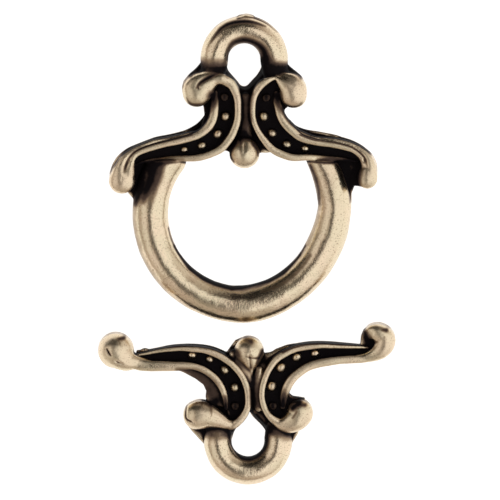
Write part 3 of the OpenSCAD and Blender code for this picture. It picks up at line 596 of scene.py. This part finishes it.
class Casting:
    """Signed distance to a casting's surface on a grid, negative inside, with its origin at its eye's centre.

    Its maps, seen from above: press has the pressed lines and pits, stains and strokes of painted shade lower
    bare and bare_low, wear lowers unworn, soot fills the channels, one map keeps the painted side shade off
    the tubes and lobes, and lobes are dull.
    """

    def __init__(self, eye, low, high):
        self.eye = eye
        self.axes = [np.arange(low[i], high[i] + VOXEL, VOXEL, dtype=np.float32) for i in range(3)]
        self.field = np.full([len(a) for a in self.axes], FAR, np.float32)
        plan = self.field.shape[:2]
        self.press, self.soot, self.polished, self.dull = (np.zeros(plan, np.float32) for _ in range(4))
        self.bare, self.bare_low, self.unworn = (np.ones(plan, np.float32) for _ in range(3))

    def window(self, points, reach):
        """Slices of the grid round some points, with that stretch of X and Y."""
        low = np.min(points, axis=0) - reach
        high = np.max(points, axis=0) + reach
        spans = [slice(*np.searchsorted(self.axes[i], (low[i], high[i]))) for i in range(2)]
        x, y = np.meshgrid(self.axes[0][spans[0]], self.axes[1][spans[1]], indexing="ij")
        return tuple(spans), x, y

    def along(self, line, x, y):
        """Distance from each place to a swelling line, with the half width and top at its nearest point."""
        best = np.full(x.shape, np.inf, np.float32)
        near = [np.zeros(x.shape, np.float32) for _ in range(3)]
        for a, b in zip(line, line[1:]):
            step = b - a
            t = ((x - a[0]) * step[0] + (y - a[1]) * step[1]) / max(step[0]**2 + step[1]**2, 1e-9)
            t = np.clip(t, 0, 1)
            away = np.hypot(x - a[0] - t * step[0], y - a[1] - t * step[1])
            wide = a[2] + t * step[2]
            closer = away - wide < best
            best = np.where(closer, away - wide, best)
            for store, value in zip(near, (away, wide, a[3] + t * step[3])):
                store[closer] = value[closer]
        return near

    def add(self, where, solid, blend):
        self.field[where] = blend_in(self.field[where], solid, blend)

    def raise_to(self, surface, where, values):
        surface[where] = np.maximum(surface[where], values)

    def swelling(self, rows):
        """Slices round a table's line, Y there, and the distance, half width and top of the line."""
        line = curve(rows)
        where, x, y = self.window(line[:, :2], line[:, 2].max() + MARGIN)
        return where, y, *(v[..., None] for v in self.along(line, x, y))

    def ridge(self, rows, blend=0.1, dome=1.0, lobe=False):
        """Upright wall with a rounded top along a table's line. A lobe is dull, with no painted side shade on
        it.
        """
        where, _, away, wide, top = self.swelling(rows)
        up = np.maximum(self.axes[2] - (top - dome * wide), 0) / dome
        self.add(where, np.hypot(up, away) - wide, blend)
        if lobe:
            depth = (wide - away)[..., 0]
            # A lobe is kept free of the painted side shade
            self.raise_to(self.polished, where, smoothstep(depth, *UNSHADED_EDGE))
            self.raise_to(self.dull, where, smoothstep(depth, *DULL_EDGE))

    def tube(self, rows, blend=0.12, tuck=0.3, stop=None, polished=1.0):
        """Bent tube, taller below its widest height than above it, that may stop at a place along Y."""
        where, y, away, wide, top = self.swelling(rows)
        up = self.axes[2] - (top - wide)
        solid = np.hypot(np.where(up > 0, up, tuck * up), away) - wide
        if stop is not None:
            solid = blend_out(solid, y[..., None] - stop + 0 * solid, STOP_ROUND)
        self.add(where, solid, blend)
        # The painted side shade is kept off the tube, by the given share
        self.raise_to(self.polished, where, polished * smoothstep((wide - away)[..., 0], *UNSHADED_EDGE))

    def plan(self, points, x, y):
        """Signed distance to a closed outline, seen from above."""
        best = np.full(x.shape, np.inf)
        inside = np.zeros(x.shape, bool)
        for a, b in zip(points, np.roll(points, -1, axis=0)):
            step = b - a
            t = np.clip(((x - a[0]) * step[0] + (y - a[1]) * step[1]) / max(step @ step, 1e-9), 0, 1)
            best = np.minimum(best, np.hypot(x - a[0] - t * step[0], y - a[1] - t * step[1]))
            crosses = (a[1] > y) != (b[1] > y)
            inside ^= crosses & (x < a[0] + step[0] * (y - a[1]) / (step[1] if step[1] else 1e-9))
        return np.where(inside, -best, best)

    def slab(self, points, top, blend=0.15, edge=0.15):
        """Low plate of an outline with rounded edges."""
        points = np.array(points, float)
        where, x, y = self.window(points, MARGIN)
        self.add(where, blend_out(self.plan(points, x, y)[..., None], self.axes[2] - top, edge), blend)

    def opening(self, points, blend=0.15, flare=0.25, lean=0.1):
        """Hole of an outline cut right through, wider and further right the higher it is."""
        points = closed_curve(points)
        where, x, y = self.window(points, 2 * MARGIN)
        layers = [self.plan(points, x - lean * z, y) - flare * z for z in self.axes[2]]
        self.field[where] = blend_out(self.field[where], -np.stack(layers, axis=2), blend)

    def bead(self, x0, y0, radius, blend=0.05):
        where, x, y = self.window(np.array([(x0, y0)]), radius + BEAD_MARGIN)
        flat = np.hypot(x - x0, y - y0)[..., None]
        self.add(where, np.hypot(flat, self.axes[2] - BEAD_Z) - radius, blend)

    def groove(self, rows):
        """Presses a line into whatever surface is there. Columns: x, y, width and depth."""
        line = curve(rows, FEW_STEPS)
        where, x, y = self.window(line[:, :2], 3 * line[:, 2].max() + VOXEL)
        away, wide, deep = self.along(line, x, y)
        self.press[where] += deep * np.exp(-(away / wide)**2)

    def pit(self, x0, y0, radius, depth):
        where, x, y = self.window(np.array([(x0, y0)]), 3 * radius + 2 * VOXEL)
        self.press[where] += depth * np.exp(-((x - x0)**2 + (y - y0)**2) / radius**2)

    def stroke(self, surface, rows):
        """Lowers a map along a line. Columns: x, y, width and strength."""
        line = curve(rows, FEW_STEPS)
        where, x, y = self.window(line[:, :2], 3 * line[:, 2].max())
        away, wide, strength = self.along(line, x, y)
        surface[where] *= 1 - np.clip(strength, 0, 1) * np.exp(-(away / wide)**2)

    def fill_with_soot(self, floor, bead_table):
        """Black filling of a channel, worn off the beads."""
        where, x, y = self.window(floor, MARGIN / 2)
        inside = smoothstep(-self.plan(floor, x, y), *SOOT_EDGE)
        for x0, y0, size in bead_table:
            inside *= smoothstep(np.hypot(x - x0, y - y0) / (BEAD_R * size), *BEAD_WORN)
        self.raise_to(self.soot, where, inside)

    def finish(self, seed):
        """Applies the pressed lines and a cast surface's slight unevenness, and cuts the back flat."""
        nz = self.field.shape[2]
        place = np.arange(nz) + self.press[..., None] / VOXEL
        low = np.clip(np.floor(place).astype(int), 0, nz - 2)
        share = np.clip(place - low, 0, 1).astype(np.float32)
        below = np.take_along_axis(self.field, low, axis=2)
        above = np.take_along_axis(self.field, low + 1, axis=2)
        self.field = below + (above - below) * share
        self.soften()
        self.field += sum(height * self.uneven(seed + i, size) for i, (height, size) in enumerate(LUMPS))
        self.field = blend_out(self.field, -self.axes[2] + np.zeros_like(self.field), BACK_ROUND)

    def soften(self):
        """Slight rounding of every edge, as in a cast surface."""
        for axis in range(3):
            padded = np.pad(self.field, [(1, 1) if i == axis else (0, 0) for i in range(3)], mode="edge")
            size = self.field.shape[axis]
            before, middle, after = (np.take(padded, np.arange(size) + k, axis=axis) for k in range(3))
            self.field = 0.25 * before + 0.5 * middle + 0.25 * after

    def uneven(self, seed, size):
        """Smooth seeded noise from -1 to 1 with lumps of that size."""
        rng = np.random.default_rng(seed)
        counts = [int(np.ptp(a) / size) + 3 for a in self.axes]
        lumps = rng.uniform(-1, 1, counts)
        for i, a in enumerate(self.axes):
            at = (a - a[0]) / size
            low = np.floor(at).astype(int)
            t = smoothstep(at - low, 0, 1).reshape([-1 if k == i else 1 for k in range(3)])
            first = np.take(lumps, low, axis=i)
            second = np.take(lumps, low + 1, axis=i)
            lumps = first + (second - first) * t
        return lumps.astype(np.float32)

    def crowding(self, spread):
        """Share of metal in the neighbourhood of each voxel, high in a recess and low on an edge."""
        share = np.clip(0.5 - self.field / VOXEL, 0, 1)
        width = int(spread / VOXEL)
        for _ in range(3):
            for axis in range(3):
                pad = [(width + 1, width) if i == axis else (0, 0) for i in range(3)]
                total = np.cumsum(np.pad(share, pad, mode="edge"), axis=axis, dtype=np.float32)
                size = share.shape[axis]
                ahead = np.take(total, np.arange(size) + 2 * width + 1, axis=axis)
                behind = np.take(total, np.arange(size), axis=axis)
                share = (ahead - behind) / (2 * width + 1)
        return share

    def sample(self, values, co):
        """Value of a grid, or of a map seen from above, at points given in its own frame."""
        count = values.ndim
        at = [(co[:, i] - self.axes[i][0]) / VOXEL for i in range(count)]
        low = [np.clip(np.floor(a).astype(int), 0, n - 2) for a, n in zip(at, values.shape)]
        t = [np.clip(a - l, 0, 1) for a, l in zip(at, low)]
        out = np.zeros(len(co))
        for corner in range(2**count):
            pick = [(corner >> i) & 1 for i in range(count)]
            weight = np.prod([t[i] if pick[i] else 1 - t[i] for i in range(count)], axis=0)
            out += weight * values[tuple(l + p for l, p in zip(low, pick))]
        return out

    def patina_and_shade(self, co, normal):
        """Tarnish and painted shade of the surface at points, and how fine the relief is or how dull a lobe.

        Tarnish comes from recesses, stains and soot. Painted shade darkens steep sides that face left and
        back, and some strokes on the maps paint shade and dark reflections.
        """
        recess = sum(share * self.sample(self.crowding(spread), co) for spread, share in CROWDING)
        steep = smoothstep(np.hypot(normal[:, 0], normal[:, 1]), *STEEP)
        # Painted shade on steep sides that face left and back, mostly kept off the tubes and lobes
        side_shade = steep * np.maximum(SIDE_SHADE_LEFT * smoothstep(-normal[:, 0], *FACING_LEFT),
                                  SIDE_SHADE_BEHIND * smoothstep(normal[:, 1], *FACING_REAR))
        side_shade *= smoothstep(co[:, 2], *SIDE_SHADE_Z) * (1 - self.sample(self.polished, co))
        front = smoothstep(co[:, 2], *FRONT_Z)
        bare = 1 - front * (1 - self.sample(self.bare, co))
        low = front * smoothstep(co[:, 2], LOW_STAIN_TOP_Z, LOW_STAIN_Z)
        bare *= 1 - low * (1 - self.sample(self.bare_low, co))
        soot = self.sample(self.soot, co) * smoothstep(co[:, 2], SOOT_TOP_Z, SOOT_LOW_Z)
        clean = (1 - np.clip((recess - RECESS_FROM) / RECESS_SPAN, 0, 1)) * (1 - side_shade)
        patina_and_shade = (1 - clean * bare * (1 - soot)) * self.sample(self.unworn, co)
        fine = 1 - smoothstep(recess, *COARSE)
        return patina_and_shade, np.maximum(fine, DULL_LOBES * self.sample(self.dull, co))

    def mesh(self, name):
        """Blender object of the surface."""
        grid = vdb.FloatGrid(FAR)
        grid.copyFromArray(np.ascontiguousarray(self.field))
        grid.transform = vdb.createLinearTransform(voxelSize=VOXEL)
        points, quads = grid.convertToQuads(0)
        points = points + [a[0] for a in self.axes]
        data = bpy.data.meshes.new(name)
        data.from_pydata((points + self.eye) * MM, [], quads.tolist())
        data.validate()
        piece = new_object(name, data)
        if 2 * len(quads) > TRIANGLES:
            thin(piece, TRIANGLES / (2 * len(quads)))
        self.paint(piece.data)
        return piece

    def paint(self, data):
        """Smooth shading, and the tarnish with its painted shade, and the fineness as point attributes."""
        data.polygons.foreach_set("use_smooth", [True] * len(data.polygons))
        co = np.zeros(3 * len(data.vertices), np.float32)
        data.vertices.foreach_get("co", co)
        normal = np.zeros(3 * len(data.vertices), np.float32)
        data.vertex_normals.foreach_get("vector", normal)
        values = self.patina_and_shade(co.reshape(-1, 3) / MM - self.eye, normal.reshape(-1, 3))
        for key, value in zip(("patina_and_shade", "fine"), values):
            data.attributes.new(key, "FLOAT", "POINT").data.foreach_set("value", value.astype(np.float32))


def new_object(name, data):
    thing = bpy.data.objects.new(name, data)
    bpy.context.scene.collection.objects.link(thing)
    return thing


def thin(piece, ratio):
    """Takes faces away from a piece, down to a ratio of them."""
    modifier = piece.modifiers.new("thin", "DECIMATE")
    modifier.ratio = ratio
    bpy.context.view_layer.objects.active = piece
    bpy.ops.object.modifier_apply(modifier=modifier.name)


def eye_centre(mount):
    """Centre of an eye on the flat back, in mm, from the record's mount."""
    for entry in frame["record"]["mounts"]:
        if entry["name"] == mount:
            x, y, _ = entry["pos_m"]
            return np.array((x / MM, y / MM, 0))


def channel(casting, upper, lower, bead_table):
    """Floor between two rims, with its black filling."""
    floor = between(upper, lower)
    casting.slab(floor, FLOOR_Z, blend=0.08)
    casting.fill_with_soot(floor, bead_table)


def flange(casting, edge, line):
    """Low step outside the rims, with a worn edge."""
    edge = edge_rows(edge)
    casting.slab(between(edge, line), FLANGE_Z, blend=0.08)
    casting.ridge(edge, blend=0.06)


def rims(casting, tables, **shape):
    """Several ridges of one shape."""
    for rows in tables:
        casting.ridge(rows, **shape)


def beads(casting, table):
    for x, y, size in table:
        casting.bead(x, y, BEAD_R * size)


def ring_half():
    c = Casting(eye_centre("ring_eye"), *RING_GRID)
    c.slab(RING_NECK, WEB_Z)
    c.slab(RING_LEFT_NOOK, WEB_Z)
    c.slab(RING_RIGHT_NOOK, WEB_Z)
    c.opening(RING_EYE_HOLE)
    c.ridge(RING_COLUMN, dome=0.7, blend=0.3)
    eye = arc(RING_EYE_CENTRE, EYE_MID_R, 0, 180, EYE_TUBE_R, EYE_TOP, 19)
    c.tube(RING_EYE_RIGHT_FOOT[::-1] + eye + RING_EYE_LEFT_FOOT)
    c.ridge(RING_GATE, blend=0.2, lobe=True)
    hoop = arc(HOOP_CENTRE, HOOP_MID_R, *HOOP_LEFT_SIDE, HOOP_TUBE_R, HOOP_TOP, 19)
    for degrees, radius, wide in HOOP_RIGHT_SIDE:
        hoop += arc(HOOP_CENTRE, radius, degrees, degrees, wide, HOOP_TOP, 1)
    c.tube(hoop, stop=HOOP_STOP_Y, polished=HOOP_UNSHADED)
    channel(c, RING_LEFT_TOP, RING_LEFT_LOW, RING_BEADS)
    channel(c, RING_RIGHT_TOP, RING_RIGHT_LOW, RING_BEADS)
    flange(c, RING_LEFT_EDGE, RING_LEFT_LINE)
    flange(c, RING_RIGHT_EDGE, RING_RIGHT_LINE)
    rims(c, (RING_LEFT_LINE, RING_RIGHT_LINE, RING_RIGHT_LEAF), dome=0.6)
    rims(c, (RING_LEFT_LOW, RING_LEFT_TOP, RING_RIGHT_LOW, RING_RIGHT_TOP), dome=0.4)
    rims(c, (RING_LEFT_TIP, RING_RIGHT_TIP), dome=0.6, blend=0.3, lobe=True)
    rims(c, (RING_LEFT_CURL, RING_RIGHT_CURL), dome=0.75, lobe=True)
    rims(c, (RING_LEFT_CURL_TOP, RING_RIGHT_CURL_TOP), blend=0.5, lobe=True)
    c.ridge(RING_DROP, dome=0.9, lobe=True)
    beads(c, RING_BEADS)
    mark(c, RING_CREASES + RING_SEAMS, RING_STAINS_AND_PAINTED_SHADE + RING_HOOP_SHADE, RING_LOW_STAINS, RING_WORN)
    for x, y, radius, depth in RING_PITS:
        c.pit(x, y, radius, depth)
    c.finish(seed=3)
    return c.mesh("ring_casting")


def bar_half():
    c = Casting(eye_centre("bar_eye"), *BAR_GRID)
    c.slab(BAR_NECK, WEB_Z)
    c.slab(BAR_UPPER_WEB, WEB_Z)
    c.opening(BAR_EYE_HOLE)
    c.slab(BAR_LEFT_SHELF, SHELF_Z)
    c.slab(BAR_HOOK_WEB, SHELF_Z)
    c.slab(BAR_CURL_WEB, SHELF_Z)
    rims(c, (BAR_COLUMN, BAR_SLOPE), dome=0.5, blend=0.2)
    eye = arc(BAR_EYE_CENTRE, BAR_EYE_MID_R, 180, 360, BAR_EYE_TUBE_R, EYE_TOP, 19)
    c.tube(BAR_EYE_LEFT_FOOT[::-1] + eye + BAR_EYE_RIGHT_FOOT)
    channel(c, BAR_LEFT_UPPER, BAR_LEFT_LOWER, BAR_BEADS)
    channel(c, BAR_RIGHT_UPPER, BAR_RIGHT_LOWER, BAR_BEADS)
    rims(c, (edge_rows(BAR_LEFT_EDGE), edge_rows(BAR_RIGHT_EDGE), BAR_FLASH, BAR_BURR), blend=0.06)
    rims(c, (BAR_LEFT_UPPER, BAR_LEFT_LOWER, BAR_RIGHT_UPPER, BAR_RIGHT_LOWER), dome=0.4)
    rims(c, (BAR_LEFT_CURL, BAR_RIGHT_CURL, BAR_LEFT_BALL_NECK, BAR_RIGHT_HOOK), dome=0.75, lobe=True)
    rims(c, (BAR_LEFT_BALL, BAR_DROP), dome=0.9, lobe=True)
    beads(c, BAR_BEADS)
    mark(c, BAR_CREASES, BAR_STAINS, BAR_LOW_STAINS, BAR_WORN)
    c.finish(seed=11)
    return c.mesh("bar_casting")


def mark(casting, creases, stains_and_painted_shade, low_stains, worn):
    """Presses the creases in and draws the stains, the painted shade and dark reflections, and the worn
    places on their maps.
    """
    for rows in creases:
        casting.groove(rows)
    for surface, tables in ((casting.bare, stains_and_painted_shade), (casting.bare_low, low_stains), (casting.unworn, worn)):
        for rows in tables:
            casting.stroke(surface, rows)


class Nodes:
    """Short way to add and link shader nodes."""

    def __init__(self, tree):
        self.tree = tree
        tree.nodes.clear()

    def add(self, kind, inputs=None, **settings):
        node = self.tree.nodes.new(kind)
        for key, value in settings.items():
            setattr(node, key, value)
        for key, value in (inputs or {}).items():
            if isinstance(value, bpy.types.NodeSocket):
                self.tree.links.new(value, node.inputs[key])
            else:
                node.inputs[key].default_value = value
        return node

    def math(self, operation, a, b=0.0):
        return self.add("ShaderNodeMath", {0: a, 1: b}, operation=operation).outputs[0]

    def smooth(self, value, low, high, out_low=0.0, out_high=1.0):
        inputs = dict(enumerate((value, low, high, out_low, out_high)))
        return self.add("ShaderNodeMapRange", inputs, interpolation_type="SMOOTHSTEP").outputs[0]

    def mix(self, share, a, b):
        """Colour between two others, whose sockets go by number because they share a name."""
        return self.add("ShaderNodeMix", {0: share, 6: a, 7: b}, data_type="RGBA").outputs[2]

    def noise(self, where, scale, detail):
        return self.add("ShaderNodeTexNoise", {"Vector": where, "Scale": scale, "Detail": detail}).outputs[0]

    def wave(self, value, amount):
        """Noise centred on 0."""
        return self.math("MULTIPLY", self.math("SUBTRACT", value, 0.5), amount)


def antiqued_metal():
    """Polished pale brass with a black-brown patina left in the recesses, and painted shade in some places.
    """
    material = bpy.data.materials.new("antiqued_metal")
    material.use_nodes = True
    n = Nodes(material.node_tree)
    place = n.add("ShaderNodeTexCoord").outputs["Object"]
    # The patina attribute also carries painted shade and painted dark reflections
    patina_and_shade = n.add("ShaderNodeAttribute", attribute_name="patina_and_shade").outputs["Fac"]
    fine = n.add("ShaderNodeAttribute", attribute_name="fine").outputs["Fac"]
    cloud = n.noise(place, *CLOUDS)
    patch = n.noise(place, *PATCHES)
    grain = n.noise(place, *GRAINS)
    speck = n.noise(place, *SPECKS)
    patina_and_shade = n.math("ADD", patina_and_shade, n.wave(cloud, CLOUD_TARNISH))
    patina_and_shade = n.math("ADD", patina_and_shade, n.wave(grain, GRAIN_TARNISH))
    gold = n.mix(n.smooth(patch, *TO_OLIVE), PEACH, OLIVE)
    gold = n.mix(n.smooth(speck, *TO_SPECK), gold, SPECK)
    # Bronze, brown and black follow the tarnish and the painted shade alike
    tint = n.mix(n.smooth(patina_and_shade, *TO_BRONZE), gold, BRONZE)
    tint = n.mix(n.smooth(patina_and_shade, *TO_BROWN), tint, BROWN)
    tint = n.mix(n.smooth(patina_and_shade, *TO_BLACK), tint, BLACK)
    rough = n.math("ADD", n.smooth(patina_and_shade, *ROUGHNESS), n.math("MULTIPLY", fine, FINE_ROUGH))
    rough = n.math("ADD", rough, n.wave(grain, GRAIN_ROUGH))
    metal = n.smooth(patina_and_shade, *METALLIC)
    gloss = n.smooth(patina_and_shade, *GLOSS)
    height = n.math("ADD", n.math("MULTIPLY", grain, GRAIN_HEIGHT), n.math("MULTIPLY", speck, SPECK_HEIGHT))
    bump = n.add("ShaderNodeBump", {"Strength": BUMP_STRENGTH, "Distance": BUMP_HEIGHT,
                                    "Height": height}).outputs["Normal"]
    shader = n.add("ShaderNodeBsdfPrincipled", {"Base Color": tint, "Metallic": metal, "Roughness": rough,
                                                "Specular IOR Level": gloss, "Normal": bump})
    n.add("ShaderNodeOutputMaterial", {"Surface": shader.outputs[0]})
    return material


def castings():
    """Both castings in their metal, in place of the solids."""
    material = antiqued_metal()
    for node, piece in (("clasp_ring", ring_half()), ("toggle_bar", bar_half())):
        piece.data.materials.append(material)
        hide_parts(node)
        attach(piece, "root")


# Studio. The photograph is 500 pixels wide and shows 42.5 mm, seen from 5 degrees off the zenith. The
# camera's place is along its own axes, and the floor is in metres.
VIEW_WIDTH = 42.5 * MM
VIEW_TILT = math.radians(5)
CAMERA_PLACE = Vector((0.319 * MM, -0.136 * MM, 0.6))
FLOOR = [(-2, -2, 0), (2, -2, 0), (2, 2, 0), (-2, 2, 0)]
FLOOR_COLOUR = (0.3, 0.3, 0.3, 1)
FLOOR_GLOW = 0.95
WARM = (1, 0.88, 0.78, 1)
WHITE = (1, 1, 1, 1)
WARM_TO_WHITE = (0.4, 1)


def studio_floor():
    data = bpy.data.meshes.new("floor")
    data.from_pydata(FLOOR, [], [(0, 1, 2, 3)])
    material = bpy.data.materials.new("pale_floor")
    material.use_nodes = True
    n = Nodes(material.node_tree)
    shader = n.add("ShaderNodeBsdfPrincipled", {"Base Color": FLOOR_COLOUR, "Roughness": 0.9,
                                                "Emission Color": WHITE, "Emission Strength": FLOOR_GLOW})
    n.add("ShaderNodeOutputMaterial", {"Surface": shader.outputs[0]})
    data.materials.append(material)
    new_object("floor", data)


def studio_light():
    """Soft light from the right and the left, with a dark streak between them and a dark patch behind.

    The light is given by the half vector between a direction and the view from above, which is the normal of
    the metal that shows it.
    """
    world = bpy.data.worlds.new("studio")
    bpy.context.scene.world = world
    world.use_nodes = True
    n = Nodes(world.node_tree)
    ray = n.add("ShaderNodeTexCoord").outputs["Generated"]
    up = (0, math.sin(VIEW_TILT), math.cos(VIEW_TILT))
    half = n.add("ShaderNodeVectorMath", {0: ray, 1: up}, operation="ADD").outputs[0]
    half = n.add("ShaderNodeVectorMath", {0: half}, operation="NORMALIZE").outputs[0]
    parts = n.add("ShaderNodeSeparateXYZ", {0: half}).outputs
    level = LIGHT_BASE
    for x, y, half_x, half_y, soft, value in LIGHT_CARDS:
        across = n.math("ABSOLUTE", n.math("SUBTRACT", parts[0], x))
        along = n.math("ABSOLUTE", n.math("SUBTRACT", parts[1], y))
        share = n.math("MULTIPLY", n.smooth(across, half_x + soft / 2, half_x - soft / 2),
                       n.smooth(along, half_y + soft / 2, half_y - soft / 2))
        change = n.math("MULTIPLY", share, n.math("SUBTRACT", value, level))
        level = n.math("ADD", level, change)
    tint = n.mix(n.smooth(level, *WARM_TO_WHITE), WARM, WHITE)
    strength = n.math("MULTIPLY", level, LIGHT_STRENGTH)
    back = n.add("ShaderNodeBackground", {"Color": tint, "Strength": strength})
    n.add("ShaderNodeOutputWorld", {"Surface": back.outputs[0]})


def studio_camera():
    data = bpy.data.cameras.new("camera")
    data.type = "ORTHO"
    data.ortho_scale = VIEW_WIDTH
    camera = new_object("camera", data)
    camera.rotation_euler = (-VIEW_TILT, 0, 0)
    camera.location = camera.rotation_euler.to_matrix() @ CAMERA_PLACE
    bpy.context.scene.camera = camera


studio_camera()
studio_floor()
studio_light()
bpy.context.scene.view_settings.view_transform = "Standard"
castings()
